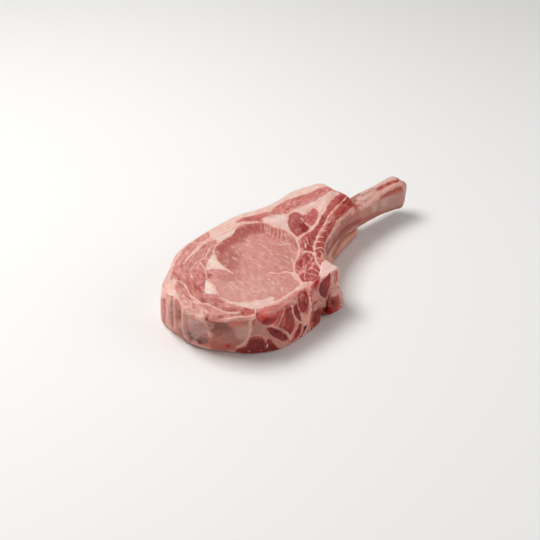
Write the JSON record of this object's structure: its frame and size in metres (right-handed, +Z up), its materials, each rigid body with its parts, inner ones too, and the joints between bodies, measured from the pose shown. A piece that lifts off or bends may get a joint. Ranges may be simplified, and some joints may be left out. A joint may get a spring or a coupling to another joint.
{
  "type": "veal chop",
  "caption": "Raw thick-cut veal rib chop with a frenched rib bone and a sawn corner of backbone, lying flat on one cut face.",
  "frame": {"origin": "middle of the whole chop's bounding box in plan, on the face that it rests on", "axes": "+X from the loin to the tip of the rib, +Y towards the back fat, +Z up through the thickness of the cut"},
  "size_m": [0.2214, 0.1092, 0.0408],
  "materials": {
    "meat": "raw pink veal with pale fat and connective seams, moist satin",
    "rib_bone": "scraped rib bone, pale pinkish grey, slightly moist",
    "chine_bone": "sawn backbone with dark red marrow and pale rims, moist"
  },
  "bodies": {
    "root": {"meat": "meat", "rib_bone": "rib_bone", "chine_bone": "chine_bone"}
  },
  "joints": []
}
